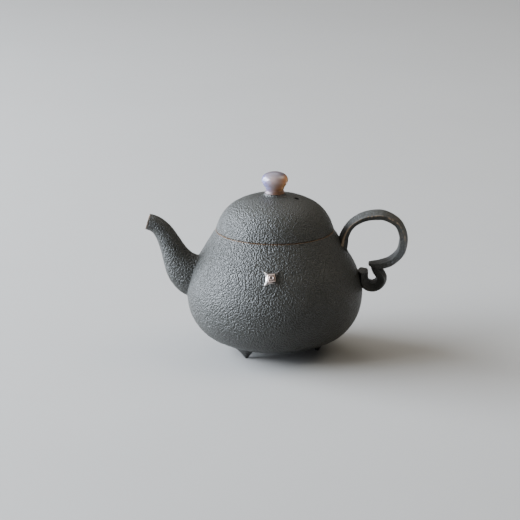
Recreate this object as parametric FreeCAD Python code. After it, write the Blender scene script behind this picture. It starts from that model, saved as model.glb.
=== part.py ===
"""Clay teapot with a cut lid, an agate knob, a curled strap handle and three small feet.

Frame: millimetres, +Z up, the pot's turning axis on Z, the feet standing on Z = 0.
The spout points along -X, the handle along +X, and the metal stud faces -Y.
Every piece is written as its own STEP file, parts/NODE.step.
"""

import FreeCAD
import Part

import math
import os

OUT_FOLDER = "parts"
AXIS = FreeCAD.Vector(0, 0, 1)
ORIGIN = FreeCAD.Vector(0, 0, 0)

# Pot body, an outline turned about Z.
BASE_Z = 3.0            # underside of the body above the table
BASE_THICK = 3.0
BASE_DISC_R = 15.0      # the flat bottom slab
BELLY_R = 41.65         # widest radius
BELLY_Z = 26.3
MOUTH_Z = 59.0          # plane where lid and pot meet
MOUTH_OUTER_R = 28.1
WALL = 2.7
POT_INSIDE_POINTS = 15  # how many points the inner wall is drawn through
SHOULDER_LOW = (39.5, 38.7)
SHOULDER_HIGH = (34.1, 49.0)
POT_OUTLINE = [
    (BASE_DISC_R, BASE_Z),
    (26.6, 5.9),
    (36.2, 12.3),
    (BELLY_R, BELLY_Z),
    SHOULDER_LOW,
    SHOULDER_HIGH,
    (MOUTH_OUTER_R, MOUTH_Z),
]
POT_START = (1, 0)              # directions in which the outline leaves the base disc
POT_END = (-0.52, 0.85)         # and reaches the mouth

# Mouth ring that the lid's flange drops into.
MOUTH_BORE_R = 24.0
MOUTH_RING_DEPTH = 3.4

# Lid, a hollow dome that carries on the pot's outline.
LID_R = 27.9
LID_APEX_Z = 75.9
LID_WALL = 2.6
LID_INSIDE_POINTS = 11
LID_OUTLINE = [
    (LID_R, MOUTH_Z),
    (25.7, 64.7),
    (22.0, 69.4),
    (16.6, 72.8),
    (9.0, 75.2),
    (0.0, LID_APEX_Z),
]
LID_START = (-0.3, 1)           # directions at the rim and at the apex
LID_END = (-1, 0)
FLANGE_CLEARANCE = 0.4
FLANGE_WALL = 2.4
FLANGE_DEPTH = 4.8
FLANGE_CHAMFER = 0.8
SEAT_RING_THICK = 2.4
VENT_R = 1.1
VENT_AT = (10.3, -3.7)

# Agate knob and the pin that holds it.
KNOB_BASE_Z = 76.6
KNOB_BASE_R = 4.7
KNOB_R = 6.25
KNOB_WIDEST_Z = 82.8
KNOB_TOP_Z = 86.7
KNOB_FLAT_R = 0.4       # small flat where the cap's curve ends, so that it has no pole
KNOB_STEM = [           # waisted stem from the foot up to the widest circle
    (KNOB_BASE_R, KNOB_BASE_Z),
    (4.2, 78.0),
    (4.45, 79.1),
    (5.05, 80.1),
    (5.8, 81.3),
    (KNOB_R, KNOB_WIDEST_Z),
]
SEAT_BOTTOM_Z = 75.2    # low clay collar between the lid and the knob
SEAT_BOTTOM_R = 5.0
SEAT_TOP_R = 4.5
PIN_R = 1.5
PIN_TOP_Z = 80.5
PIN_HEAD_R = 2.6
PIN_HEAD_THICK = 0.8
PIN_HEAD_GAP = 0.1      # keeps the head clear of the dome's curve

# Spout: stations along its centre line from tip to root, as
# (x, z, half height across the centre line, half width along Y).
SPOUT_STATIONS = [
    (-60.15, 62.7, 3.8, 3.8),
    (-57.4, 61.8, 3.95, 3.9),
    (-55.0, 60.3, 4.1, 4.0),
    (-52.8, 57.8, 4.5, 4.2),
    (-51.0, 54.8, 4.9, 4.5),
    (-49.4, 51.5, 5.4, 4.8),
    (-48.0, 48.4, 6.0, 5.2),
    (-46.5, 45.2, 6.9, 5.6),
    (-44.6, 42.0, 8.2, 6.1),
    (-42.1, 39.1, 9.5, 6.6),
    (-38.5, 36.8, 10.8, 7.0),
    (-33.0, 35.6, 11.6, 7.2),
]
SPOUT_TIP_LEAN = math.radians(18)   # the cut tip's face looks up by this much
SPOUT_WALL_TIP = 1.3
SPOUT_WALL_ROOT = 2.0
OUTLET_R = 6.3                      # hole through the pot wall behind the spout
OUTLET_Z = 36.5

# Ball strainer inside the outlet.
STRAINER_WALL = 1.3
STRAINER_HOLE_R = 0.8
STRAINER_RINGS = [(0, 1), (27, 6), (54, 10)]    # (degrees off the axis, holes in the ring)

# Handle strap section: outer face domed and wide, inner face narrow.
STRAP_HALF_WIDTH = 6.0
STRAP_INNER_HALF_WIDTH = 4.1
STRAP_CREST = 1.8       # mid line to the crown of the outer face
STRAP_RIDGE = 0.65      # mid line to the two side ridges
STRAP_INNER_EDGE = 1.6  # mid line to the edges of the inner face
STRAP_INNER = 1.8       # mid line to the middle of the inner face

# Loop mid line from inside the pot wall to the free tip, as (x, z, width scale, thickness scale).
LOOP_STATIONS = [
    (31.0, 47.8, 1.06, 1.70),
    (32.2, 52.4, 1.04, 1.45),
    (33.0, 56.1, 1.02, 1.18),
    (34.8, 59.8, 1.00, 1.02),
    (37.6, 62.8, 1.00, 0.96),
    (42.4, 65.3, 1.00, 1.04),
    (48.0, 66.2, 1.00, 1.14),
    (52.7, 65.6, 1.00, 1.12),
    (57.9, 62.1, 1.00, 1.06),
    (60.4, 56.5, 1.00, 1.08),
    (60.5, 51.7, 1.00, 1.08),
    (59.15, 47.1, 1.00, 1.04),
    (55.3, 43.2, 1.00, 1.00),
    (52.0, 41.9, 0.98, 1.00),
    (49.4, 41.4, 0.90, 0.94),
    (47.0, 41.5, 0.75, 0.78),
    (44.7, 42.0, 0.50, 0.42),
]

# Scroll under the loop: a round curl between the pot and the loop's end.
CURL_X = 46.4
CURL_Z = 35.3
CURL_R = 4.5
CURL_ARM_TOP_Z = 38.6
CURL_WIDTH = 0.96       # width and thickness scales against the loop
CURL_THICKNESS = 1.40
CURL_HEAD = [           # mid line where it turns up into the loop, with its scales
    (49.7, 37.7, 0.94, 1.40),
    (48.2, 39.7, 0.90, 1.30),
    (47.0, 41.2, 0.78, 0.95),
]

# Feet: small cones with hollowed sides.
FOOT_CIRCLE_R = 20.7
FOOT_ANGLES = {"foot_front": -130.5, "foot_handle_side": -10.5, "foot_back": 109.5}
FOOT_TIP_R = 1.0
FOOT_ROOT_R = 7.2
FOOT_ROOT_Z = 6.6
FOOT_WAIST = (2.5, 2.3)     # radius and height of the hollowed side

# Metal stud on the front of the pot.
STUD_X = -1.8
STUD_Z = 45.0
STUD_HALF = 3.6
STUD_TOP_HALF = 2.05
STUD_PINCH = 0.7        # how far the sides draw in between the corners
STUD_TOP_PINCH = 0.15
STUD_EDGE = 0.3         # height of the stud's edge above the wall
STUD_RISE = 2.3
STUD_SINK = 2.0

SAME_LENGTH = 1e-4      # lengths closer than this are taken as equal


def point(x, z, y=0.0):
    return FreeCAD.Vector(x, y, z)


def curve_through(points, start=None, end=None):
    """A smooth curve through (radius, height) points, with optional end directions."""
    curve = Part.BSplineCurve()
    options = {}
    if start and end:
        options = {"InitialTangent": point(*start), "FinalTangent": point(*end)}
    curve.interpolate([point(*p) for p in points], **options)
    return curve


def offset_inwards(curve, distance, count):
    """(radius, height) points that run beside a turned outline, a wall's thickness inside it."""
    first, last = curve.FirstParameter, curve.LastParameter
    found = []
    for i in range(count):
        u = first + (last - first) * i / (count - 1)
        at = curve.value(u)
        along = curve.tangent(u)[0]
        found.append((at.x - along.z * distance, at.z + along.x * distance))
    return found


def turned(edges):
    """A solid turned about Z from edges that start and end on the axis."""
    face = Part.Face(Part.Wire(Part.__sortEdges__(edges)))
    return face.revolve(ORIGIN, AXIS, 360)


def closed_by_lines(edge_curve, points_before, points_after):
    """Edges of an outline: lines through points_before, the curve, and lines through points_after."""
    first = edge_curve.value(edge_curve.FirstParameter)
    last = edge_curve.value(edge_curve.LastParameter)
    edges = [edge_curve.toShape()]
    for run in ([point(*p) for p in points_before] + [first],
                [last] + [point(*p) for p in points_after]):
        for a, b in zip(run, run[1:]):
            if a.distanceToPoint(b) > SAME_LENGTH:
                edges.append(Part.makeLine(a, b))
    edges.append(Part.makeLine(point(*points_after[-1]), point(*points_before[0])))
    return edges


def ring(inner_r, outer_r, low_z, high_z):
    height = high_z - low_z
    outer = Part.makeCylinder(outer_r, height, point(0, low_z))
    return outer.cut(Part.makeCylinder(inner_r, height, point(0, low_z)))


def one_solid(shape):
    """The largest solid of a shape, as a clean single solid."""
    solids = sorted(shape.Solids, key=lambda s: s.Volume)
    return solids[-1]


def pot_curve():
    return curve_through(POT_OUTLINE, POT_START, POT_END)


def pot_outside():
    """The pot as a full block, without its hollow."""
    return turned(closed_by_lines(pot_curve(), [(0, BASE_Z)], [(0, MOUTH_Z)]))


def pot_inside():
    """The tea space, carried on above the mouth so that cuts run clear through it."""
    points = offset_inwards(pot_curve(), WALL, POT_INSIDE_POINTS)
    inner = curve_through(points)
    top = points[-1]
    above = (top[0], MOUTH_Z + WALL)
    return turned(closed_by_lines(inner, [(0, points[0][1])], [above, (0, above[1])]))


def spout_section(station, plane_angle, shrink):
    """An ellipse across the spout's centre line; plane_angle is the centre line's direction."""
    x, z, half_height, half_width = station
    across = point(-math.sin(plane_angle), math.cos(plane_angle))
    major = half_height - shrink
    minor = half_width - shrink
    centre = point(x, z)
    side = FreeCAD.Vector(0, 1, 0)
    if major > minor + SAME_LENGTH:
        ellipse = Part.Ellipse(centre + across * major, centre + side * minor, centre)
        return Part.Wire(ellipse.toShape())
    normal = across.cross(side)
    return Part.Wire(Part.Circle(centre, normal, major).toShape())


def station_directions(stations, first_angle=None):
    """The direction of the mid line at each station, from its neighbours."""
    angles = []
    for i in range(len(stations)):
        a = stations[max(i - 1, 0)]
        b = stations[min(i + 1, len(stations) - 1)]
        angles.append(math.atan2(b[1] - a[1], b[0] - a[0]))
    if first_angle is not None:
        angles[0] = first_angle
    return angles


def spout_and_channel():
    """The spout's outer body and the channel inside it, both as blocks that reach into the pot."""
    angles = station_directions(SPOUT_STATIONS, first_angle=-SPOUT_TIP_LEAN)
    last = len(SPOUT_STATIONS) - 1
    outer, inner = [], []
    for i, (station, angle) in enumerate(zip(SPOUT_STATIONS, angles)):
        wall = SPOUT_WALL_TIP + (SPOUT_WALL_ROOT - SPOUT_WALL_TIP) * i / last
        outer.append(spout_section(station, angle, 0.0))
        inner.append(spout_section(station, angle, wall))
    return Part.makeLoft(outer, True), Part.makeLoft(inner, True)


def strap_section(x, z, angle, width, thickness):
    """The strap's outline across its mid line; the outer face looks left of the direction of travel."""
    out = point(-math.sin(angle), math.cos(angle))
    side = FreeCAD.Vector(0, 1, 0)
    centre = point(x, z)

    def at(u, v):
        return centre + out * (u * thickness) + side * (v * width)

    ridge_a = at(STRAP_RIDGE, -STRAP_HALF_WIDTH)
    ridge_b = at(STRAP_RIDGE, STRAP_HALF_WIDTH)
    inner_a = at(-STRAP_INNER_EDGE, -STRAP_INNER_HALF_WIDTH)
    inner_b = at(-STRAP_INNER_EDGE, STRAP_INNER_HALF_WIDTH)
    edges = [
        Part.Arc(ridge_a, at(STRAP_CREST, 0), ridge_b).toShape(),
        Part.makeLine(ridge_b, inner_b),
        Part.Arc(inner_b, at(-STRAP_INNER, 0), inner_a).toShape(),
        Part.makeLine(inner_a, ridge_a),
    ]
    return Part.Wire(edges)


def handle_loop(pot_block):
    angles = station_directions(LOOP_STATIONS)
    sections = [strap_section(x, z, angle, width, thick)
                for (x, z, width, thick), angle in zip(LOOP_STATIONS, angles)]
    return one_solid(Part.makeLoft(sections, True).cut(pot_block))


def handle_scroll(pot_block, loop):
    """Down the pot's side, round the curl, and up into the loop's end."""
    left_x = CURL_X - CURL_R
    scales = (CURL_WIDTH, CURL_THICKNESS)
    stations = [(left_x, CURL_ARM_TOP_Z, *scales),
                (left_x, (CURL_ARM_TOP_Z + CURL_Z) / 2, *scales)]
    for degrees in range(180, 361, 30):
        turn = math.radians(degrees)
        stations.append((CURL_X + CURL_R * math.cos(turn), CURL_Z + CURL_R * math.sin(turn), *scales))
    stations += CURL_HEAD
    angles = station_directions(stations, first_angle=-math.pi / 2)
    sections = []
    for (x, z, width, thick), angle in zip(stations, angles):
        sections.append(strap_section(x, z, angle + math.pi, width, thick))
    return one_solid(Part.makeLoft(sections, True).cut(pot_block).cut(loop))


def foot(angle_degrees, pot_block):
    tip = (FOOT_TIP_R, 0.0)
    side = curve_through([tip, FOOT_WAIST, (FOOT_ROOT_R, FOOT_ROOT_Z)])
    block = turned(closed_by_lines(side, [(0, 0)], [(0, FOOT_ROOT_Z)]))
    turn = math.radians(angle_degrees)
    block.translate(FreeCAD.Vector(math.cos(turn), math.sin(turn), 0) * FOOT_CIRCLE_R)
    return one_solid(block.cut(pot_block))


def strainer(inside):
    """A perforated ball cap that stands into the tea space over the outlet."""
    centre = outlet_centre()
    inwards = FreeCAD.Vector(1, 0, 0)       # the middle hole takes away the ball's pole
    ball = Part.makeSphere(OUTLET_R + STRAINER_WALL, centre, inwards)
    shell = ball.cut(Part.makeSphere(OUTLET_R, centre, inwards)).common(inside)
    reach = OUTLET_R + STRAINER_WALL + 1
    for off_axis, count in STRAINER_RINGS:
        tilt = math.radians(off_axis)
        for i in range(count):
            turn = 2 * math.pi * i / count
            way = FreeCAD.Vector(math.cos(tilt), math.sin(tilt) * math.cos(turn),
                                 math.sin(tilt) * math.sin(turn))
            shell = shell.cut(Part.makeCylinder(STRAINER_HOLE_R, reach, centre, way))
    return one_solid(shell)


def outlet_centre():
    """Where the outlet's axis crosses the pot's inner wall."""
    inner_r = BELLY_R - WALL
    for (r_a, z_a), (r_b, z_b) in zip(POT_OUTLINE, POT_OUTLINE[1:]):
        if z_a <= OUTLET_Z <= z_b:
            inner_r = r_a + (r_b - r_a) * (OUTLET_Z - z_a) / (z_b - z_a) - WALL
    return point(-inner_r, OUTLET_Z)


def metal_stud(pot_block):
    """A four-cornered stud with drawn-in sides and a small flat top, bedded on the pot's curve."""
    (low_r, low_z), (high_r, high_z) = SHOULDER_LOW, SHOULDER_HIGH
    slope = math.atan2(low_r - high_r, high_z - low_z)
    normal = FreeCAD.Vector(0, -math.cos(slope), math.sin(slope))
    up = FreeCAD.Vector(0, math.sin(slope), math.cos(slope))
    right = FreeCAD.Vector(1, 0, 0)
    surface_r = high_r + (high_z - STUD_Z) * math.tan(slope)
    foot_point = FreeCAD.Vector(STUD_X, -surface_r, STUD_Z)

    def square(half, pinch, rise):
        corners = [(-1, -1), (1, -1), (1, 1), (-1, 1)]
        edges = []
        for i in range(4):
            a, b = corners[i], corners[(i + 1) % 4]
            middle = ((a[0] + b[0]) / 2 * (half - pinch), (a[1] + b[1]) / 2 * (half - pinch))
            ends = [(a[0] * half, a[1] * half), middle, (b[0] * half, b[1] * half)]
            ends = [foot_point + right * u + up * v + normal * rise for u, v in ends]
            edges.append(Part.Arc(*ends).toShape())
        return Part.Wire(edges)

    skirt = Part.makeLoft([square(STUD_HALF, STUD_PINCH, -STUD_SINK),
                           square(STUD_HALF, STUD_PINCH, STUD_EDGE)], True, True)
    peak = Part.makeLoft([square(STUD_HALF, STUD_PINCH, STUD_EDGE),
                          square(STUD_TOP_HALF, STUD_TOP_PINCH, STUD_RISE)], True, True)
    return one_solid(skirt.fuse(peak).cut(pot_block))


def lid_curve():
    return curve_through(LID_OUTLINE, LID_START, LID_END)


def lid_outside():
    return turned(closed_by_lines(lid_curve(), [(0, MOUTH_Z)], [(0, LID_APEX_Z)]))


def lid_inside():
    """The hollow under the dome, carried down past the rim."""
    points = offset_inwards(lid_curve(), LID_WALL, LID_INSIDE_POINTS)
    inner = curve_through(points)
    below = (points[0][0], MOUTH_Z - LID_WALL)
    return turned(closed_by_lines(inner, [(0, below[1]), below], [(0, points[-1][1])]))


def turned_straight(outline):
    """A solid turned about Z from a closed outline of straight (radius, height) lines."""
    face = Part.Face(Part.makePolygon([point(*p) for p in outline + outline[:1]]))
    return face.revolve(ORIGIN, AXIS, 360)


def pin_hole():
    return Part.makeCylinder(PIN_R, PIN_TOP_Z - MOUTH_Z, point(0, MOUTH_Z))


def knob():
    """A waisted stem under an elliptical cap, turned about Z."""
    stem = curve_through(KNOB_STEM, start=(-0.5, 1), end=(0, 1))
    cap_rise = KNOB_TOP_Z - KNOB_WIDEST_Z
    turns = [math.radians(angle) for angle in (0, 30, 60)]
    rounded = [(KNOB_R * math.cos(t), KNOB_WIDEST_Z + cap_rise * math.sin(t)) for t in turns]
    cap = curve_through(rounded + [(KNOB_FLAT_R, KNOB_TOP_Z)], start=(0, 1), end=(-1, 0))
    flat = Part.makeLine(point(KNOB_FLAT_R, KNOB_TOP_Z), point(0, KNOB_TOP_Z))
    base = Part.makeLine(point(0, KNOB_BASE_Z), point(KNOB_BASE_R, KNOB_BASE_Z))
    axis = Part.makeLine(point(0, KNOB_TOP_Z), point(0, KNOB_BASE_Z))
    return turned([base, stem.toShape(), cap.toShape(), flat, axis]).cut(pin_hole())


def knob_seat(dome):
    collar = turned_straight([(0, SEAT_BOTTOM_Z), (SEAT_BOTTOM_R, SEAT_BOTTOM_Z),
                              (SEAT_TOP_R, KNOB_BASE_Z), (0, KNOB_BASE_Z)])
    return one_solid(collar.cut(pin_hole()).cut(dome))


def knob_pin():
    head_top = LID_APEX_Z - LID_WALL - PIN_HEAD_GAP
    head = Part.makeCylinder(PIN_HEAD_R, PIN_HEAD_THICK, point(0, head_top - PIN_HEAD_THICK))
    shank = Part.makeCylinder(PIN_R, PIN_TOP_Z - head_top, point(0, head_top))
    return head.fuse(shank).removeSplitter()


def lid_dome():
    shell = lid_outside().cut(lid_inside())
    vent = Part.makeCylinder(VENT_R, LID_APEX_Z, FreeCAD.Vector(*VENT_AT, MOUTH_Z))
    return one_solid(shell.cut(pin_hole()).cut(vent))


def lid_flange():
    outer = MOUTH_BORE_R - FLANGE_CLEARANCE
    inner = outer - FLANGE_WALL
    low = MOUTH_Z - FLANGE_DEPTH
    return turned_straight([(inner, MOUTH_Z), (outer, MOUTH_Z), (outer, low + FLANGE_CHAMFER),
                            (outer - FLANGE_CHAMFER, low), (inner, low)])


def main():
    os.makedirs(OUT_FOLDER, exist_ok=True)
    block = pot_outside()
    inside = pot_inside()
    spout_block, channel = spout_and_channel()
    centre = outlet_centre()
    outlet = Part.makeCylinder(OUTLET_R, 3 * WALL, centre + FreeCAD.Vector(WALL, 0, 0),
                               FreeCAD.Vector(-1, 0, 0))
    disc = Part.makeCylinder(BASE_DISC_R, BASE_THICK, point(0, BASE_Z))
    loop = handle_loop(block)
    lid_hollow = lid_inside()
    dome = lid_dome()
    flange_inner_r = MOUTH_BORE_R - FLANGE_CLEARANCE - FLANGE_WALL

    parts = {
        "pot_wall": one_solid(block.cut(inside).cut(disc).cut(outlet)),
        "base_disc": disc,
        "mouth_ring": one_solid(
            ring(MOUTH_BORE_R, MOUTH_OUTER_R, MOUTH_Z - MOUTH_RING_DEPTH, MOUTH_Z).common(inside)),
        "spout": one_solid(spout_block.cut(channel).cut(block)),
        "strainer": strainer(inside),
        "handle_loop": loop,
        "handle_scroll": handle_scroll(block, loop),
        "metal_stud": metal_stud(block),
        "lid_dome": dome,
        "lid_seat_ring": one_solid(
            ring(flange_inner_r, LID_R, MOUTH_Z, MOUTH_Z + SEAT_RING_THICK).common(lid_hollow)),
        "lid_flange": lid_flange(),
        "agate_knob": knob(),
        "knob_seat": knob_seat(dome),
        "knob_pin": knob_pin(),
    }
    for name, angle in FOOT_ANGLES.items():
        parts[name] = foot(angle, block)

    for name, shape in parts.items():
        print(name, "valid" if shape.isValid() else "NOT VALID", len(shape.Solids),
              round(shape.Volume, 1))
        shape.exportStep(os.path.join(OUT_FOLDER, name + ".step"))
    print("tea space, ml", round(inside.common(
        Part.makeCylinder(BELLY_R, MOUTH_Z - BASE_Z, point(0, BASE_Z))).Volume / 1000, 1))


main()
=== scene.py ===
"""A black clay teapot with a cut lid, an agate knob, a curled strap handle and three small feet."""

import math

import bpy
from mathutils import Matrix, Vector


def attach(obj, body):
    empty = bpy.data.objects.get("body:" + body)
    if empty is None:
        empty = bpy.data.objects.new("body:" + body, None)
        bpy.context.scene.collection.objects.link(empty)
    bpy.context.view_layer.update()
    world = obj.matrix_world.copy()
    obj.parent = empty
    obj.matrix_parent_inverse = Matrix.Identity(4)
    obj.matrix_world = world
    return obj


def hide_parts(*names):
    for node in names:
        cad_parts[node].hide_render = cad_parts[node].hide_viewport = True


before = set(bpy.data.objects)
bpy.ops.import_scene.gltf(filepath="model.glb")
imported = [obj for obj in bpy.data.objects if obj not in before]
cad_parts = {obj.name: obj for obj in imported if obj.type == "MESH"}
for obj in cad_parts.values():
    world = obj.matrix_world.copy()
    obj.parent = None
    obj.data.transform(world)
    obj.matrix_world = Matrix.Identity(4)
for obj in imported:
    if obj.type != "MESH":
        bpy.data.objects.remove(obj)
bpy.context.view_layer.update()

MM = 0.001     # metres in a millimetre; profiles and places below are in millimetres


# ---- Table, daylight and camera ---------------------------------------------------------------
# A pale, plain table top under soft daylight: a wide window to the left of the pot, a small bright
# pane of it further in front, a weak ceiling and far wall, and a dim white room all round.


class Value:
    """What one node gives, for use in a formula: an operator on it adds the Math node for it."""

    def __init__(self, finish, socket):
        self.finish = finish
        self.socket = socket

    def math(self, operation, *terms):
        return self.finish.node("Math", {"operation": operation}, dict(enumerate(terms)))

    def __add__(self, other):
        return self.math("ADD", self, other)

    def __sub__(self, other):
        return self.math("SUBTRACT", self, other)

    def __rsub__(self, other):
        return self.math("SUBTRACT", other, self)

    def __mul__(self, other):
        return self.math("MULTIPLY", self, other)

    def __pow__(self, other):
        return self.math("POWER", self, other)

    def __abs__(self):
        return self.math("ABSOLUTE", self)

    __radd__ = __add__
    __rmul__ = __mul__

    def ramp(self, start, end):
        """Rises smoothly from 0 at start to 1 at end, or falls if end is the lower one."""
        return self.finish.node(
            "MapRange", {"interpolation_type": "SMOOTHSTEP"},
            {"Value": self, "From Min": start, "From Max": end})


class Finish:
    """A material, mixed from nodes on the piece's own coordinates in metres."""

    def __init__(self, name):
        self.material = bpy.data.materials.new(name)
        self.material.use_nodes = True
        self.tree = self.material.node_tree
        self.tree.nodes.clear()
        self.place = self.node("TexCoord", {}, {}, "Object")
        apart = {"Vector": self.place}
        self.x, self.y, self.z = (self.node("SeparateXYZ", {}, apart, axis) for axis in "XYZ")

    def node(self, kind, settings, inputs, output=0):
        """Adds a node, sets it, then fills or links its sockets, and gives one of its outputs."""
        made = self.tree.nodes.new("ShaderNode" + kind)
        for name, setting in settings.items():
            setattr(made, name, setting)
        for name, value in inputs.items():
            if isinstance(value, Value):
                self.tree.links.new(value.socket, made.inputs[name])
            else:
                made.inputs[name].default_value = value
        return Value(self, made.outputs[output])

    def noise(self, size, detail=2.0, roughness=0.5, place=None):
        """Soft mottling of about that size in metres, from 0 to 1."""
        return self.node("TexNoise", {}, {
            "Vector": place or self.place, "Scale": 1 / size, "Detail": detail,
            "Roughness": roughness})

    def mixed(self, factor, first, second):
        """One colour turning into another as factor goes from 0 to 1."""
        return self.node("Mix", {"data_type": "RGBA"}, {0: factor, 6: first, 7: second}, 2)

    def bump(self, height, depth, under=None):
        """The surface with relief of that depth in metres, on top of another relief if given."""
        inputs = {"Height": height, "Distance": depth, "Strength": 1.0}
        if under:
            inputs["Normal"] = under
        return self.node("Bump", {}, inputs)

    def surface(self, **sockets):
        """Ends the material: names are the surface shader's sockets, with _ for a space."""
        inputs = {name.replace("_", " "): value for name, value in sockets.items()}
        shader = self.node("BsdfPrincipled", {}, inputs)
        end = self.tree.nodes.new("ShaderNodeOutputMaterial")
        self.tree.links.new(shader.socket, end.inputs["Surface"])
        return self.material


def alone(piece):
    """Makes piece the one thing that is selected."""
    bpy.ops.object.select_all(action="DESELECT")
    piece.select_set(True)
    bpy.context.view_layer.objects.active = piece


TABLE_SIDE = 9.0        # metres
TABLE_BACK = 1.5        # how far its middle lies behind the pot, in metres
TABLE_DULL = (0.350, 0.338, 0.322, 1)
TABLE_PALE = (0.372, 0.360, 0.344, 1)

bpy.ops.object.select_all(action="DESELECT")
bpy.ops.mesh.primitive_plane_add(size=TABLE_SIDE, location=(0, TABLE_BACK, 0))
table = bpy.context.object
table.name = "table_top"
plaster = Finish("pale_table")
table.data.materials.append(plaster.surface(
    Base_Color=plaster.mixed(plaster.noise(120 * MM, 4.0, 0.6), TABLE_DULL, TABLE_PALE),
    Roughness=0.75,
    Specular_IOR_Level=0.3,
))

POT_MIDDLE = Vector((-7.0, 0.0, 43.7)) * MM


def hang_light(name, way, distance, width, height, watts, colour):
    """A soft panel that shines on the pot from that way; its distance and sides are in metres."""
    bpy.ops.object.select_all(action="DESELECT")
    bpy.ops.object.light_add(type="AREA", location=POT_MIDDLE + way.normalized() * distance)
    panel = bpy.context.object
    panel.name = name
    panel.rotation_euler = (-way).to_track_quat("-Z", "Y").to_euler()
    panel.data.shape = "RECTANGLE"
    panel.data.size = width
    panel.data.size_y = height
    panel.data.energy = watts
    panel.data.color = colour


hang_light("window", way=Vector((-0.94, 0.14, 0.35)), distance=1.3, width=1.4, height=0.9,
           watts=120.0, colour=(0.79, 0.88, 1.0))
hang_light("window_pane", way=Vector((-0.79, -0.45, 0.43)), distance=1.3, width=0.2, height=0.2,
           watts=6.0, colour=(0.93, 0.96, 1.0))
hang_light("ceiling", way=Vector((-0.25, 0.45, 1.0)), distance=1.6, width=2.0, height=2.0,
           watts=16.0, colour=(1.0, 0.98, 0.95))
hang_light("far_wall", way=Vector((0.6, 0.1, 0.8)), distance=1.5, width=1.2, height=1.0,
           watts=9.0, colour=(1.0, 0.93, 0.80))

room = bpy.data.worlds.new("room")
room.use_nodes = True
walls = room.node_tree.nodes["Background"]
walls.inputs["Color"].default_value = (1.0, 0.96, 0.88, 1)
walls.inputs["Strength"].default_value = 0.085
bpy.context.scene.world = room

EYE_LIFT = math.radians(16)
EYE_DISTANCE = 1.1      # metres
eye_way = Vector((0, -math.cos(EYE_LIFT), math.sin(EYE_LIFT)))
bpy.ops.object.camera_add(location=POT_MIDDLE + eye_way * EYE_DISTANCE,
                          rotation=(math.pi / 2 - EYE_LIFT, 0, 0))
camera = bpy.context.object
camera.data.lens = 160.3
camera.data.sensor_width = 36.0
camera.data.clip_start = 0.01
bpy.context.scene.camera = camera


# ---- Pot wall ---------------------------------------------------------------------------------
# Black stoneware, pear-shaped and paddled thin, with the wrinkled skin of coarse clay that was
# pressed and fired unglazed. The base disc closes it below; the lid's rim carries its outline on.

BASE_R = 15.0
MOUTH_TOP = 59.0
POT_OUTSIDE = [(BASE_R, 3.0), (26.6, 5.9), (36.2, 12.3), (41.65, 26.3), (39.5, 38.7), (34.1, 49.0),
               (28.1, 58.7)]
MOUTH_EDGE = [POT_OUTSIDE[-1], (28.0, 58.9), (27.7, MOUTH_TOP)]
POT_INSIDE = [(25.9, 58.9), (31.9, 47.4), (37.0, 37.6), (38.9, 26.3), (34.0, 14.4), (26.0, 8.8),
              (BASE_R, 6.0)]
OUTLET_R = 6.3
OUTLET_AT = (-37.5, 0.0, 36.5)
SKIN_DEPTH = 0.06
SAME_PLACE = 0.002 * MM


def drawn(name, runs):
    """A line made a mesh. Each run is (steps, points), smooth along itself, and the runs meet in
    corners. A point is (x, z) on the XZ plane, or (x, y, z)."""
    bpy.ops.object.select_all(action="DESELECT")
    bpy.ops.curve.primitive_bezier_curve_add()
    line = bpy.context.object
    line.name = name
    line.data.splines.clear()
    for steps, points in runs:
        spline = line.data.splines.new("BEZIER")
        spline.resolution_u = steps
        spline.bezier_points.add(len(points) - 1)
        for knot, at in zip(spline.bezier_points, points):
            knot.co = Vector((at[0], 0.0, at[1]) if len(at) == 2 else at) * MM
            knot.handle_left_type = "AUTO"
            knot.handle_right_type = "AUTO"
    bpy.ops.object.convert(target="MESH")
    bpy.ops.object.mode_set(mode="EDIT")
    bpy.ops.mesh.select_all(action="SELECT")
    bpy.ops.mesh.remove_doubles(threshold=SAME_PLACE)
    bpy.ops.object.mode_set(mode="OBJECT")
    return line


def turned(name, runs, segments):
    """A solid of revolution about Z, from the line of its closed outline."""
    piece = drawn(name, runs)
    bpy.ops.object.mode_set(mode="EDIT")
    bpy.ops.mesh.select_all(action="SELECT")
    bpy.ops.mesh.spin(steps=segments, angle=2 * math.pi, center=(0, 0, 0), axis=(0, 0, 1))
    bpy.ops.mesh.select_all(action="SELECT")
    bpy.ops.mesh.remove_doubles(threshold=SAME_PLACE)
    bpy.ops.mesh.normals_make_consistent(inside=False)
    bpy.ops.object.mode_set(mode="OBJECT")
    bpy.ops.object.shade_smooth()
    return piece


def apply_modifiers(piece):
    """Works the piece's modifiers into its mesh, in their order."""
    alone(piece)
    for modifier in list(piece.modifiers):
        bpy.ops.object.modifier_apply(modifier=modifier.name)


def wrinkle(piece, skin, depth):
    """Presses low, uneven folds into the clay: skin gives their strength from 0 to 1 at a place,
    and depth is how far the finer ones reach, from lowest to highest."""
    group = piece.vertex_groups.new(name="skin")
    for corner in piece.data.vertices:
        amount = skin(corner.co / MM)
        if amount > 0:
            group.add([corner.index], amount, "REPLACE")
    for name, size, share in (("folds", 0.6, 1.0), ("waves", 4.0, 0.5)):
        pattern = bpy.data.textures.new(piece.name + "_" + name, "CLOUDS")
        pattern.noise_scale = size * MM
        pattern.noise_depth = 1
        press = piece.modifiers.new(name, "DISPLACE")
        press.texture = pattern
        press.texture_coords = "LOCAL"
        press.vertex_group = "skin"
        press.strength = depth * share * MM
        press.mid_level = 0.5
    apply_modifiers(piece)


def fade(value, low, high):
    """0 below low, 1 above high, straight between."""
    return min(max((value - low) / (high - low), 0.0), 1.0)


def wall_skin(at):
    """The whole wall, but for the mouth and a band round the base disc, which stay smooth."""
    from_axis = at.xy.length
    if from_axis <= 27.0 and at.z >= 12.0:
        return 0.0
    return fade(58.9 - at.z, 0.0, 1.2) * fade(from_axis, 14.8, 16.5)


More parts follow.
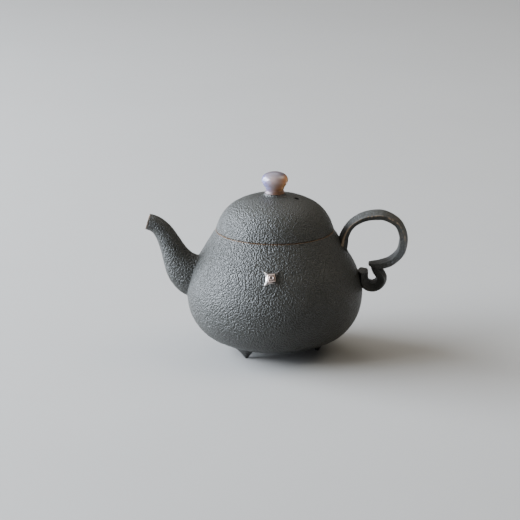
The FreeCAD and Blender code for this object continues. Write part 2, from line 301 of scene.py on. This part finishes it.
def pierce(piece, name, radius, depth, middle, lean=0.0, sides=48):
    """Bores a round hole of that length round its middle, upright or leaning towards +X."""
    bpy.ops.object.select_all(action="DESELECT")
    bpy.ops.mesh.primitive_cylinder_add(vertices=sides, radius=radius * MM, depth=depth * MM,
                                        location=[part * MM for part in middle],
                                        rotation=(0, lean, 0))
    borer = bpy.context.object
    hole = piece.modifiers.new(name, "BOOLEAN")
    hole.object = borer
    hole.operation = "DIFFERENCE"
    hole.solver = "EXACT"
    apply_modifiers(piece)
    bpy.data.objects.remove(borer)


pot_wall = turned("clay_pot_wall", [
    (24, POT_OUTSIDE),
    (3, MOUTH_EDGE),
    (2, [MOUTH_EDGE[-1], POT_INSIDE[0]]),
    (3, POT_INSIDE),
    (2, [POT_INSIDE[-1], POT_OUTSIDE[0]]),
], segments=520)
wrinkle(pot_wall, wall_skin, SKIN_DEPTH)
pierce(pot_wall, "outlet", OUTLET_R, depth=9, middle=OUTLET_AT, lean=math.pi / 2)

CLAY_DEEP = (0.016, 0.016, 0.0135, 1)
CLAY_HIGH = (0.044, 0.044, 0.038, 1)
SPOUT_TIP = (-60.15, 62.7)
SPOUT_TIP_LEAN = math.radians(18)


def clay_finish(name, pebble, relief, gloss, wear_and_glints, wear_and_glint_colour):
    """Unglazed black clay, shallower in its grain on the lid's crown. Its folds are painted lighter
    on their ridges (painted highlight) and darker in their creases (painted shade). pebble is the
    width of its grain and relief the depth. The wear argument gives from the finish how far the
    clay turns to the colour after it, from 0 to 1: wear from handling at the rims, and painted
    glints with a lighter tan on the handle's ridges."""
    clay = Finish(name)
    sand = clay.noise(0.5 * MM, 3.0, 0.65)
    mottle = clay.noise(11 * MM, 3.0, 0.55)
    pebbles = clay.node("TexVoronoi", {"feature": "SMOOTH_F1"}, {
        "Vector": clay.place, "Scale": 1 / (pebble * MM), "Smoothness": 0.5})
    # Painted light: Pointiness lightens the folds' ridges (painted highlight) and darkens their
    # creases (painted shade). This is mixed half and half with the clay's own mottled tone.
    high = clay.node("NewGeometry", {}, {}, "Pointiness").ramp(0.44, 0.56)
    body = clay.mixed(0.5 * mottle + 0.5 * high, CLAY_DEEP, CLAY_HIGH)
    calm = 1.0 - 0.4 * clay.z.ramp(68 * MM, 75 * MM)
    grain = clay.bump(calm * (1.0 - pebbles), relief * MM)
    return clay.surface(
        Base_Color=clay.mixed(wear_and_glints(clay), body, wear_and_glint_colour),
        Roughness=gloss + 0.10 * (sand - 0.5) + 0.06 * (mottle - 0.5),
        Normal=clay.bump(sand, 0.33 * relief * MM, grain),
    )


def rim_wear(clay):
    """The outer edges of the mouth and of the lid, where the two rub together, and the cut tip of
    the spout."""
    from_axis = (clay.x * clay.x + clay.y * clay.y) ** 0.5
    seam = clay.z.ramp(58.72 * MM, 58.9 * MM) * clay.z.ramp(59.42 * MM, 59.2 * MM)
    broken = clay.noise(2.5 * MM, 3.0, 0.6).ramp(0.3, 0.55)
    band = from_axis.ramp(27.2 * MM, 27.6 * MM) * from_axis.ramp(29.5 * MM, 29.0 * MM)
    beyond_tip = (-math.cos(SPOUT_TIP_LEAN) * (clay.x - SPOUT_TIP[0] * MM)
                  + math.sin(SPOUT_TIP_LEAN) * (clay.z - SPOUT_TIP[1] * MM))
    tip = beyond_tip.ramp(-0.55 * MM, -0.1 * MM)
    return seam * band * (0.4 + 0.5 * broken) + tip * (0.35 + 0.4 * broken)


wrinkled_clay = clay_finish("wrinkled_clay", pebble=0.74, relief=0.60, gloss=0.43,
                            wear_and_glints=rim_wear, wear_and_glint_colour=(0.17, 0.098, 0.052, 1))


def hand_over(piece, finish, body, slot, *nodes):
    """Gives the finished piece its material, hangs it on its body, and hides the CAD parts it
    stands in for.
    """
    piece.data.materials.append(finish)
    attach(piece, body)
    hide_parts(*nodes)


hand_over(pot_wall, wrinkled_clay, "pot", "black_clay", "pot_wall")


# ---- Base disc --------------------------------------------------------------------------------
# The clay slab that closes the bottom, cut from a rolled sheet of the same black stoneware. It is
# luted inside the foot of the wall with slip and paddled flush.


def base_skin(at):
    """The underside, but for its edge."""
    return fade(4.0 - at.z, 0.0, 0.6) * fade(14.6 - at.xy.length, 0.0, 1.0)


base_disc = turned("clay_base_disc", [
    (24, [(0.0, 3.1), (14.6, 3.05)]),
    (2, [(14.6, 3.05), (14.9, 3.15), (BASE_R, 3.4)]),
    (2, [(BASE_R, 3.4), (BASE_R, 5.7)]),
    (2, [(BASE_R, 5.7), (14.9, 5.95), (14.6, 6.0)]),
    (8, [(14.6, 6.0), (0.0, 6.0)]),
], segments=200)
wrinkle(base_disc, base_skin, SKIN_DEPTH)
hand_over(base_disc, wrinkled_clay, "pot", "black_clay", "base_disc")


# ---- Mouth ring -------------------------------------------------------------------------------
# A ring of the same clay, luted inside the mouth while both were leather-hard. It stiffens the
# edge, and the lid's flange drops into it.

RING_BORE_R = 24.0
RING_BOTTOM = 55.6

mouth_ring = turned("clay_mouth_ring", [
    (3, [(RING_BORE_R, 58.7), (24.1, 58.92), (24.35, MOUTH_TOP)]),
    (2, [(24.35, MOUTH_TOP), (25.9, MOUTH_TOP)]),
    (3, [(25.9, MOUTH_TOP), (27.6, RING_BOTTOM)]),
    (2, [(27.6, RING_BOTTOM), (24.4, RING_BOTTOM)]),
    (3, [(24.4, RING_BOTTOM), (24.1, 55.7), (RING_BORE_R, 56.0)]),
    (3, [(RING_BORE_R, 56.0), (RING_BORE_R, 58.7)]),
], segments=240)
hand_over(mouth_ring, wrinkled_clay, "pot", "black_clay", "mouth_ring")


# ---- Spout ------------------------------------------------------------------------------------
# A tapering clay tube rolled round a stick and bent into an S, luted over the strainer. Its tip
# is cut square and thinned, and its root spreads over the wall.

SPOUT_LINE = [      # (x, z, half height, half width) from the tip to the root
    (*SPOUT_TIP, 3.8, 3.8), (-57.4, 61.8, 3.95, 3.9), (-55.0, 60.3, 4.1, 4.0),
    (-52.8, 57.8, 4.5, 4.2), (-51.0, 54.8, 4.9, 4.5), (-49.4, 51.5, 5.4, 4.8),
    (-48.0, 48.4, 6.0, 5.2), (-46.5, 45.2, 6.9, 5.6), (-44.6, 42.0, 8.2, 6.1),
    (-42.1, 39.1, 9.5, 6.6), (-38.5, 36.8, 10.8, 7.0), (-33.0, 35.6, 11.6, 7.2),
]
SPOUT_WALL = 1.3
SPOUT_ROOT_AT = (-37.8, 0, 36.2)
SPOUT_ROOT_FACING = (-0.958, 0, 0.284)
THIN_SKIN_DEPTH = 0.08


def between(rows, steps):
    """The rows with more between them, on one smooth line through them all."""
    padded = [rows[0], *rows, rows[-1]]
    found = []
    for four in zip(padded, padded[1:], padded[2:], padded[3:]):
        for step in range(steps):
            t = step / steps
            found.append(tuple(
                0.5 * (2 * b + (c - a) * t + (2 * a - 5 * b + 4 * c - d) * t ** 2
                       + (3 * b - a - 3 * c + d) * t ** 3)
                for a, b, c, d in zip(*four)))
    return found + [rows[-1]]


def directions(rows, first_angle=None):
    """The way the line of rows (x, z, ...) runs at each of them, as an angle up from +X."""
    angles = []
    for before, after in zip([rows[0], *rows], [*rows[1:], rows[-1]]):
        angles.append(math.atan2(after[1] - before[1], after[0] - before[0]))
    if first_angle is not None:
        angles[0] = first_angle
    return angles


def draw_out(rows, angles):
    """Draws the selected end out along rows of (x, z, thickness, width), square to their line."""
    for row, after, angle, new_angle in zip(rows, rows[1:], angles, angles[1:]):
        step = ((after[0] - row[0]) * MM, 0, (after[1] - row[1]) * MM)
        centre = (after[0] * MM, 0, after[1] * MM)
        bpy.ops.mesh.extrude_region_move(TRANSFORM_OT_translate={"value": step})
        bpy.ops.transform.rotate(value=-angle, orient_axis="Y", center_override=centre)
        bpy.ops.transform.resize(value=(1, after[3] / row[3], after[2] / row[2]),
                                 center_override=centre)
        bpy.ops.transform.rotate(value=new_angle, orient_axis="Y", center_override=centre)


def settle(piece):
    """Moves the piece's place and turn into its mesh."""
    alone(piece)
    bpy.ops.object.transform_apply(location=True, rotation=True, scale=True)


def outwards(piece):
    """Turns the piece's faces outwards and shades them smooth."""
    alone(piece)
    bpy.ops.object.mode_set(mode="EDIT")
    bpy.ops.mesh.select_all(action="SELECT")
    bpy.ops.mesh.normals_make_consistent(inside=False)
    bpy.ops.object.mode_set(mode="OBJECT")
    bpy.ops.object.shade_smooth()


def cut_flat(piece, at, facing, hollow=False):
    """Cuts away what lies behind a plane, given by a place on it and the way it faces. The cut is
    filled, or on a hollow piece its open edges are joined to each other."""
    alone(piece)
    bpy.ops.object.mode_set(mode="EDIT")
    bpy.ops.mesh.select_all(action="SELECT")
    bpy.ops.mesh.bisect(plane_co=Vector(at) * MM, plane_no=facing, clear_inner=True,
                        use_fill=not hollow)
    if hollow:
        bpy.ops.mesh.select_all(action="DESELECT")
        bpy.ops.mesh.select_mode(type="EDGE")
        bpy.ops.mesh.select_non_manifold()
        bpy.ops.mesh.bridge_edge_loops()
        bpy.ops.mesh.select_mode(type="VERT")
    bpy.ops.object.mode_set(mode="OBJECT")


TIP_FACE = Vector((-math.cos(SPOUT_TIP_LEAN), 0, math.sin(SPOUT_TIP_LEAN)))


def spout_skin(at):
    """All but the tip's edge, which was cut and smoothed."""
    behind_tip = (Vector((SPOUT_TIP[0], 0, SPOUT_TIP[1])) - at).dot(TIP_FACE)
    return fade(behind_tip, 0.3, 1.5)


bpy.ops.object.select_all(action="DESELECT")
bpy.ops.mesh.primitive_circle_add(vertices=96, radius=SPOUT_LINE[0][2] * MM,
                                  location=(SPOUT_TIP[0] * MM, 0, SPOUT_TIP[1] * MM),
                                  rotation=(0, math.pi / 2 + SPOUT_TIP_LEAN, 0))
spout = bpy.context.object
spout.name = "clay_spout"
settle(spout)
bpy.ops.object.mode_set(mode="EDIT")
bpy.ops.mesh.select_all(action="SELECT")
spout_rows = between(SPOUT_LINE, 9)
draw_out(spout_rows, directions(spout_rows, -SPOUT_TIP_LEAN))
bpy.ops.object.mode_set(mode="OBJECT")
outwards(spout)
wrinkle(spout, spout_skin, THIN_SKIN_DEPTH)
wall = spout.modifiers.new("wall", "SOLIDIFY")
wall.thickness = SPOUT_WALL * MM
wall.offset = -1
apply_modifiers(spout)
cut_flat(spout, SPOUT_ROOT_AT, SPOUT_ROOT_FACING, hollow=True)
bpy.ops.object.shade_smooth_by_angle(angle=math.radians(50))
hand_over(spout, wrinkled_clay, "pot", "black_clay", "spout")


# ---- Strainer ---------------------------------------------------------------------------------
# The perforated cap of clay that keeps the leaves back, luted over the outlet inside the wall. Its
# CAD shape is right, so it only takes the clay's finish.

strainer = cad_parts["strainer"]
for cad_finish in strainer.material_slots:
    cad_finish.material = wrinkled_clay


# ---- Handle loop ------------------------------------------------------------------------------
# A strap of clay, domed outside and narrower inside, with a ridge along each side. It rises off
# the shoulder, rolls over and ends in a thin tail.

LOOP_LINE = [       # (x, z, thickness, width) along the middle of the strap, from root to tail
    (31.0, 47.8, 1.70, 1.06), (32.2, 52.4, 1.45, 1.04), (33.0, 56.1, 1.18, 1.02),
    (34.8, 59.8, 1.02, 1.00), (37.6, 62.8, 0.96, 1.00), (42.4, 65.3, 1.04, 1.00),
    (48.0, 66.2, 1.14, 1.00), (52.7, 65.6, 1.12, 1.00), (58.1, 62.2, 1.08, 1.00),
    (60.75, 56.6, 1.14, 1.00), (60.85, 51.6, 1.14, 1.00), (59.4, 47.0, 1.06, 1.00),
    (55.3, 43.2, 1.00, 1.00), (52.0, 41.9, 1.00, 0.98), (49.4, 41.4, 0.94, 0.90),
    (47.0, 41.5, 0.78, 0.75), (44.7, 42.0, 0.42, 0.50),
]
LOOP_ROOT_AT = (30.07, 0, 53.38)
LOOP_ROOT_FACING = (0.857, 0, 0.514)
STRAP_SECTION = [   # (steps, points), where a point is (out from the middle, along Y)
    (7, [(0.65, -6.0), (1.8, 0.0), (0.65, 6.0)]),
    (5, [(0.65, 6.0), (-1.6, 4.1)]),
    (5, [(-1.6, 4.1), (-1.8, 0.0), (-1.6, -4.1)]),
    (5, [(-1.6, -4.1), (0.65, -6.0)]),
]
RIDGE_RUB = 0.28
RIDGE_ANGLE = math.radians(35)


def strap(name, rows, angles, outside):
    """A strap drawn out along rows. outside is 1 if its domed face is on the left on the way
    along them, seen from the front, and -1 if it is on the right."""
    x, z, thickness, width = rows[0]
    out = Vector((-math.sin(angles[0]), 0, math.cos(angles[0]))) * outside * thickness
    side = Vector((0, width, 0))
    piece = drawn(name, [
        (steps, [Vector((x, 0, z)) + out * u + side * v for u, v in run])
        for steps, run in STRAP_SECTION])
    bpy.ops.object.mode_set(mode="EDIT")
    bpy.ops.mesh.select_all(action="SELECT")
    bpy.ops.mesh.edge_face_add()
    draw_out(rows, angles)
    bpy.ops.object.mode_set(mode="OBJECT")
    outwards(piece)
    return piece


def soften_ridges(piece):
    """Rubs the sharp edges of the strap down a little."""
    rub = piece.modifiers.new("rub", "BEVEL")
    rub.width = RIDGE_RUB * MM
    rub.segments = 3
    rub.limit_method = "ANGLE"
    rub.angle_limit = RIDGE_ANGLE
    apply_modifiers(piece)
    bpy.ops.object.shade_smooth_by_angle(angle=RIDGE_ANGLE)


loop_rows = between(LOOP_LINE, 10)
handle_loop = strap("clay_handle_loop", loop_rows, directions(loop_rows), 1)
cut_flat(handle_loop, LOOP_ROOT_AT, LOOP_ROOT_FACING)
soften_ridges(handle_loop)


def ridge_glints_and_patches(clay):
    """The strap's side ridges: a lighter tan at the root, painted glints in small patches where
    they catch the light over the top and the far shoulder, and faint tan patches all over that
    shoulder."""
    ridge = abs(clay.y).ramp(5.35 * MM, 5.7 * MM)
    glint_spots = clay.noise(1.1 * MM, 2.0, 0.6).ramp(0.48, 0.56)
    patches = clay.noise(3 * MM, 3.0, 0.6).ramp(0.45, 0.7)
    root = clay.x.ramp(37.5 * MM, 35.5 * MM) * clay.z.ramp(49.0 * MM, 50.5 * MM)
    shoulder = clay.x.ramp(51 * MM, 57 * MM) * clay.z.ramp(52 * MM, 56 * MM)
    top = clay.z.ramp(62 * MM, 64.5 * MM)
    # Painted glints: the noise-cut patches on the ridges over the top and the far shoulder stand for
    # light catching them.
    tan_and_glints = 0.85 * root + glint_spots * (0.8 * top + 0.35 * shoulder)
    return ridge * tan_and_glints + 0.16 * shoulder * patches


# This tan colours the painted glints on the handle's ridges as well as the lighter root and patches.
smooth_clay = clay_finish("handle_clay_glints", pebble=0.7, relief=0.45, gloss=0.50,
                          wear_and_glints=ridge_glints_and_patches, wear_and_glint_colour=(0.27, 0.19, 0.12, 1))
hand_over(handle_loop, smooth_clay, "pot", "black_clay", "handle_loop")


# ---- Handle scroll ----------------------------------------------------------------------------
# A second, shorter strap of the same clay and section. It is luted to the belly, curls round and
# runs up under the loop's tail, where the two are pressed together.

CURL_X, CURL_Z = 46.4, 35.3
CURL_R = 4.5
CURL_SIZE = (1.4, 0.96)     # thickness and width, as in LOOP_LINE
CURL_TAIL = [(49.7, 37.7, 1.40, 0.94), (48.2, 39.7, 1.30, 0.90), (47.0, 41.2, 0.95, 0.78)]
curl_line = [(CURL_X - CURL_R, height, *CURL_SIZE) for height in (38.6, 36.95)]
for degrees in range(180, 361, 30):
    round_curl = math.radians(degrees)
    curl_line.append((CURL_X + CURL_R * math.cos(round_curl), CURL_Z + CURL_R * math.sin(round_curl),
                      *CURL_SIZE))
curl_line += CURL_TAIL
curl_rows = between(curl_line, 6)
handle_scroll = strap("clay_handle_scroll", curl_rows, directions(curl_rows, -math.pi / 2), -1)
soften_ridges(handle_scroll)
hand_over(handle_scroll, smooth_clay, "pot", "black_clay", "handle_scroll")


# ---- Feet -------------------------------------------------------------------------------------
# Three small pointed feet, pinched from pellets of the same clay, luted on in a ring and drawn
# smoothly into the belly.

FOOT_CIRCLE_R = 20.7
FOOT_ANGLES = {"foot_front": -130.5, "foot_handle_side": -10.5, "foot_back": 109.5}
FOOT_TOP = 6.6
FOOT_CUT = 5.8          # the height of its sloping cut, inside the wall, over the foot's middle
BELLY_SLOPE = 0.22


def foot_skin(at):
    """All but the smooth tip."""
    return fade(at.z, 0.3, 2.0)


foot_pattern = turned("clay_foot", [
    (4, [(0.0, 0.0), (0.7, 0.06), (1.0, 0.35)]),
    (9, [(1.0, 0.35), (1.5, 1.1), (2.5, 2.4), (4.4, 4.4), (7.2, FOOT_TOP)]),
    (3, [(7.2, FOOT_TOP), (0.0, FOOT_TOP)]),
], segments=90)
for foot_node, foot_angle in FOOT_ANGLES.items():
    alone(foot_pattern)
    bpy.ops.object.duplicate()
    foot = bpy.context.object
    foot.name = "clay_" + foot_node
    way = Vector((math.cos(math.radians(foot_angle)), math.sin(math.radians(foot_angle)), 0))
    foot.location = way * FOOT_CIRCLE_R * MM
    settle(foot)
    wrinkle(foot, foot_skin, THIN_SKIN_DEPTH)
    cut_flat(foot, way * FOOT_CIRCLE_R + Vector((0, 0, FOOT_CUT)),
             way * BELLY_SLOPE - Vector((0, 0, 1)))
    hand_over(foot, wrinkled_clay, "pot", "black_clay", foot_node)
bpy.data.objects.remove(foot_pattern)


# ---- Metal stud -------------------------------------------------------------------------------
# A small polished silver stud let into the front of the wall: four corners pulled out, sides
# drawn in, and a raised boss in the middle that carries a plain ring.

STUD_AT = Vector((-1.8, -36.2, 45.0))
STUD_LEAN = math.radians(62.3)
SKIRT_SIDE = [(3.55, -3.55), (2.6, 0.0), (3.55, 3.55)]
SKIRT_STEPS = [     # (height above the wall, size)
    (-2.0, 1.0), (0.1, 1.0), (0.22, 0.97), (0.55, 0.84), (0.95, 0.72), (1.35, 0.62), (1.6, 0.56),
    (1.7, 0.40)]
BOSS_SIDE = [(2.05, -1.45), (2.12, 0.0), (2.05, 1.45)]
BOSS_CORNER = [(2.05, 1.45), (1.88, 1.88), (1.45, 2.05)]
BOSS_TURN = math.radians(9)
BOSS_STEPS = [      # (height above the wall, size)
    (0.8, 1.08), (1.4, 1.04), (1.7, 1.0), (1.95, 0.94), (2.12, 0.84), (2.2, 0.7), (2.24, 0.5),
    (2.26, 0.3), (2.26, 0.06)]
RING_R = 0.95
RING_WIRE_R = 0.24
RING_HEIGHT = 2.22


def stacked(name, sides, steps):
    """A block of the outline that four turned copies of sides make, drawn up through steps."""
    runs = []
    for quarter in range(4):
        cos, sin = math.cos(quarter * math.pi / 2), math.sin(quarter * math.pi / 2)
        for side in sides:
            runs.append((8, [(u * cos - v * sin, u * sin + v * cos, steps[0][0])
                             for u, v in side]))
    piece = drawn(name, runs)
    bpy.ops.object.mode_set(mode="EDIT")
    bpy.ops.mesh.select_all(action="SELECT")
    bpy.ops.mesh.edge_face_add()
    for (height, size), (new_height, new_size) in zip(steps, steps[1:]):
        bpy.ops.mesh.extrude_region_move(
            TRANSFORM_OT_translate={"value": (0, 0, (new_height - height) * MM)})
        grow = new_size / size
        bpy.ops.transform.resize(value=(grow, grow, 1), center_override=(0, 0, new_height * MM))
    bpy.ops.object.mode_set(mode="OBJECT")
    return piece


boss = stacked("boss", [BOSS_SIDE, BOSS_CORNER], BOSS_STEPS)
boss.rotation_euler = (0, 0, BOSS_TURN)
settle(boss)
bpy.ops.object.select_all(action="DESELECT")
bpy.ops.mesh.primitive_torus_add(major_segments=40, minor_segments=12, major_radius=RING_R * MM,
                                 minor_radius=RING_WIRE_R * MM, location=(0, 0, RING_HEIGHT * MM))
boss_ring = bpy.context.object
stud = stacked("silver_stud", [SKIRT_SIDE], SKIRT_STEPS)
boss.select_set(True)
boss_ring.select_set(True)
bpy.ops.object.join()
stud.rotation_euler = (STUD_LEAN, 0, 0)
stud.location = STUD_AT * MM
settle(stud)
outwards(stud)
bpy.ops.object.shade_smooth_by_angle(angle=math.radians(38))

SILVER_DULL = (0.58, 0.53, 0.50, 1)
SILVER_BRIGHT = (0.80, 0.74, 0.71, 1)
SILVER_WARM = (0.70, 0.53, 0.47, 1)
# The dark for the stud's painted shade at its lower right and for the marks round its ring.
SHADE_AND_MARK_DARK = (0.10, 0.095, 0.09, 1)

silver = Finish("polished_silver")
scratches = silver.noise(0.6 * MM, 4.0, 0.7)
across = silver.x - STUD_AT.x * MM
from_wall = silver.y - STUD_AT.y * MM
upward = silver.z - STUD_AT.z * MM
height = math.cos(STUD_LEAN) * upward - math.sin(STUD_LEAN) * from_wall
along = math.sin(STUD_LEAN) * upward + math.cos(STUD_LEAN) * from_wall
from_middle = (across * across + along * along) ** 0.5
raised = height.ramp(1.5 * MM, 2.0 * MM)
ring_outside = from_middle.ramp(1.65 * MM, 1.4 * MM) * from_middle.ramp(1.05 * MM, 1.25 * MM)
ring_middle = from_middle.ramp(0.8 * MM, 0.6 * MM)
# Painted shade: darker towards the stud's lower right, less so on the raised boss. The boss is also
# darker inside and just outside its ring.
lower_right_shade = (0.75 * silver.z - silver.x).ramp(35.2 * MM, 33.6 * MM)
shade_and_ring_marks = lower_right_shade * (0.8 - 0.6 * raised) + 0.7 * raised * (ring_outside + ring_middle)
polish = silver.mixed(scratches, SILVER_DULL, SILVER_BRIGHT)
polish = silver.mixed(raised, polish, SILVER_WARM)
silver_material = silver.surface(
    Base_Color=silver.mixed(shade_and_ring_marks, polish, SHADE_AND_MARK_DARK),
    Metallic=1.0 - 0.2 * raised,
    Roughness=0.15 + 0.14 * scratches + 0.12 * raised,
    Normal=silver.bump(scratches, 0.02 * MM),
)
hand_over(stud, silver_material, "pot", "silver", "metal_stud")


# ---- Lid dome ---------------------------------------------------------------------------------
# A hollow dome of the same clay, thrown to carry on the pot's outline, with a small vent hole
# pierced beside the knob.

LID_BOTTOM = 59.08
LID_OUTSIDE = [(27.9, 59.5), (25.7, 64.7), (22.0, 69.4), (16.6, 72.8), (9.0, 75.2), (0.0, 75.9)]
LID_EDGE = [(27.3, LID_BOTTOM), (27.7, 59.18), LID_OUTSIDE[0]]
LID_INSIDE = [(0.0, 73.3), (8.5, 72.65), (15.5, 70.4), (20.3, 67.45), (23.4, 63.4),
              (25.2, LID_BOTTOM)]
VENT_R = 1.2
VENT_AT = (10.3, -3.7, 74)


def lid_skin(at):
    """All but the lower edge and the middle, which the knob's seat covers."""
    from_axis = at.xy.length
    if at.z + from_axis * 0.55 <= 74.0 and from_axis <= 25.3:
        return 0.0
    return fade(at.z, 59.3, 60.4) * fade(from_axis, 3.0, 8.0)


lid_dome = turned("clay_lid_dome", [
    (3, LID_EDGE),
    (18, LID_OUTSIDE),
    (5, LID_INSIDE),
    (2, [LID_INSIDE[-1], LID_EDGE[0]]),
], segments=420)
wrinkle(lid_dome, lid_skin, SKIN_DEPTH)
pierce(lid_dome, "vent", VENT_R, depth=12, middle=VENT_AT, sides=24)
hand_over(lid_dome, wrinkled_clay, "lid", "black_clay", "lid_dome")


# ---- Lid seat ring ----------------------------------------------------------------------------
# The flat ring of clay that closes the dome's edge from below and rests on the mouth. It is luted
# inside the dome.

SEAT_BOTTOM = 59.1
SEAT_TOP = 61.4
LID_BORE_R = 21.2

seat_ring = turned("clay_seat_ring", [
    (3, [(25.15, SEAT_BOTTOM), (24.45, SEAT_TOP)]),
    (2, [(24.45, SEAT_TOP), (21.5, SEAT_TOP)]),
    (3, [(21.5, SEAT_TOP), (21.3, 61.3), (LID_BORE_R, 61.1)]),
    (2, [(LID_BORE_R, 61.1), (LID_BORE_R, SEAT_BOTTOM)]),
    (2, [(LID_BORE_R, SEAT_BOTTOM), (25.15, SEAT_BOTTOM)]),
], segments=200)
hand_over(seat_ring, wrinkled_clay, "lid", "black_clay", "lid_seat_ring")


# ---- Lid flange -------------------------------------------------------------------------------
# The ring of clay that drops into the mouth and keeps the lid in its place, luted under the seat
# ring, with a rounded lower edge.

FLANGE_R = 23.6
FLANGE_BOTTOM = 54.2

lid_flange = turned("clay_lid_flange", [
    (2, [(LID_BORE_R, SEAT_BOTTOM), (FLANGE_R, SEAT_BOTTOM)]),
    (3, [(FLANGE_R, SEAT_BOTTOM), (FLANGE_R, 55.2)]),
    (4, [(FLANGE_R, 55.2), (23.3, 54.5), (22.6, FLANGE_BOTTOM)]),
    (2, [(22.6, FLANGE_BOTTOM), (21.8, FLANGE_BOTTOM)]),
    (3, [(21.8, FLANGE_BOTTOM), (21.4, 54.35), (LID_BORE_R, 54.7)]),
    (3, [(LID_BORE_R, 54.7), (LID_BORE_R, SEAT_BOTTOM)]),
], segments=200)
hand_over(lid_flange, wrinkled_clay, "lid", "black_clay", "lid_flange")


# ---- Knob seat --------------------------------------------------------------------------------
# A low collar of the same clay that the stone sits on, luted to the crown of the lid and smoothed
# into it.

COLLAR_BOTTOM = 75.0
COLLAR_TOP = 76.6

knob_seat = turned("clay_knob_seat", [
    (3, [(0.0, COLLAR_BOTTOM), (6.6, COLLAR_BOTTOM)]),
    (6, [(6.6, COLLAR_BOTTOM), (6.5, 75.48), (5.6, 75.75), (5.0, 76.3)]),
    (3, [(5.0, 76.3), (4.9, 76.5), (4.6, COLLAR_TOP)]),
    (3, [(4.6, COLLAR_TOP), (0.0, COLLAR_TOP)]),
], segments=120)
hand_over(knob_seat, wrinkled_clay, "lid", "black_clay", "knob_seat")


# ---- Agate knob -------------------------------------------------------------------------------
# A bead of banded grey agate, turned and polished, waisted above its foot. It is bored from below
# for its pin.

KNOB_MIDDLE = 83.0
AGATE_DARK_BAND = (0.38, 0.29, 0.27, 1)
AGATE_PALE_BAND = (0.52, 0.41, 0.38, 1)
# The next two colours are painted light: the bluish window's reflection, and the light shining
# through the stone.
PAINTED_WINDOW_BLUE = (0.21, 0.21, 0.44, 1)
PAINTED_GLOW_AMBER = (0.72, 0.33, 0.10, 1)
AGATE_SMOKE = (0.17, 0.15, 0.19, 1)
AGATE_UMBER = (0.15, 0.07, 0.045, 1)

knob = turned("agate_knob_stone", [
    (6, [(0.0, COLLAR_TOP), (4.4, COLLAR_TOP)]),
    (3, [(4.4, COLLAR_TOP), (4.65, 76.7), (4.65, 76.95)]),
    (6, [(4.65, 76.95), (4.25, 77.9), (4.4, 79.0), (5.05, 80.1), (5.75, 81.2), (6.25, 82.7),
         (6.0, 84.1), (5.25, 85.25), (3.6, 86.2), (1.8, 86.6), (0.0, 86.7)]),
], segments=128)
agate = Finish("banded_agate")
wander = agate.noise(6 * MM, 3.0, 0.5)
bands = agate.noise(3 * MM, 2.0, 0.5, place=agate.node("Mapping", {}, {
    "Vector": agate.place, "Scale": (0.5, 0.5, 2.5), "Rotation": (0.3, 0.25, 0.0)}))
# Painted light in the stone's colour: amber low on the right stands for light shining through the
# stone, and blue low on the left is a painted reflection of the bluish window. The crown is also
# mixed darker and smoky, and the foot dark umber.
below_middle = KNOB_MIDDLE * MM - agate.z
glow_through = (agate.x + 0.5 * below_middle).ramp(0.5 * MM, 5.5 * MM)
window_reflection = (0.25 * below_middle - agate.x).ramp(0.5 * MM, 5.5 * MM)
root = agate.z.ramp(80.2 * MM, 77.2 * MM)
crown = agate.z.ramp(84.6 * MM, 86.2 * MM)
stone = agate.mixed(bands, AGATE_DARK_BAND, AGATE_PALE_BAND)
stone = agate.mixed(window_reflection * 0.9, stone, PAINTED_WINDOW_BLUE)
stone = agate.mixed(glow_through * 0.9, stone, PAINTED_GLOW_AMBER)
stone = agate.mixed(crown * 0.8, stone, AGATE_SMOKE)
stone = agate.mixed(root * 0.8, stone, AGATE_UMBER)
agate_material = agate.surface(
    Base_Color=stone,
    Roughness=0.10 + 0.05 * wander + 0.3 * root,
    Subsurface_Weight=0.35,
    Subsurface_Radius=(0.004, 0.0025, 0.002),
    Subsurface_Scale=1.0,
    Transmission_Weight=0.3,
    IOR=1.54,
)
hand_over(knob, agate_material, "lid", "agate", "agate_knob")


# ---- Knob pin ---------------------------------------------------------------------------------
# The turned brass pin that holds the stone to the clay. It passes up through the lid into the
# stone, with its domed head under the lid.

PIN_R = 1.5
BRASS_DULL = (0.55, 0.38, 0.14, 1)
BRASS_BRIGHT = (0.72, 0.54, 0.26, 1)

knob_pin = turned("brass_knob_pin", [
    (6, [(0.0, 72.45), (1.4, 72.55), (2.3, 72.85), (2.6, 73.2)]),
    (2, [(2.6, 73.2), (PIN_R, 73.25)]),
    (4, [(PIN_R, 73.25), (PIN_R, 80.3)]),
    (3, [(PIN_R, 80.3), (1.3, 80.5), (0.0, 80.5)]),
], segments=64)
brass = Finish("turned_brass")
lathe_marks = brass.noise(0.4 * MM, 3.0, 0.6)
brass_material = brass.surface(
    Base_Color=brass.mixed(brass.noise(2 * MM, 3.0, 0.6), BRASS_DULL, BRASS_BRIGHT),
    Metallic=1.0,
    Roughness=0.28 + 0.15 * lathe_marks,
)
hand_over(knob_pin, brass_material, "lid", "brass_pin", "knob_pin")
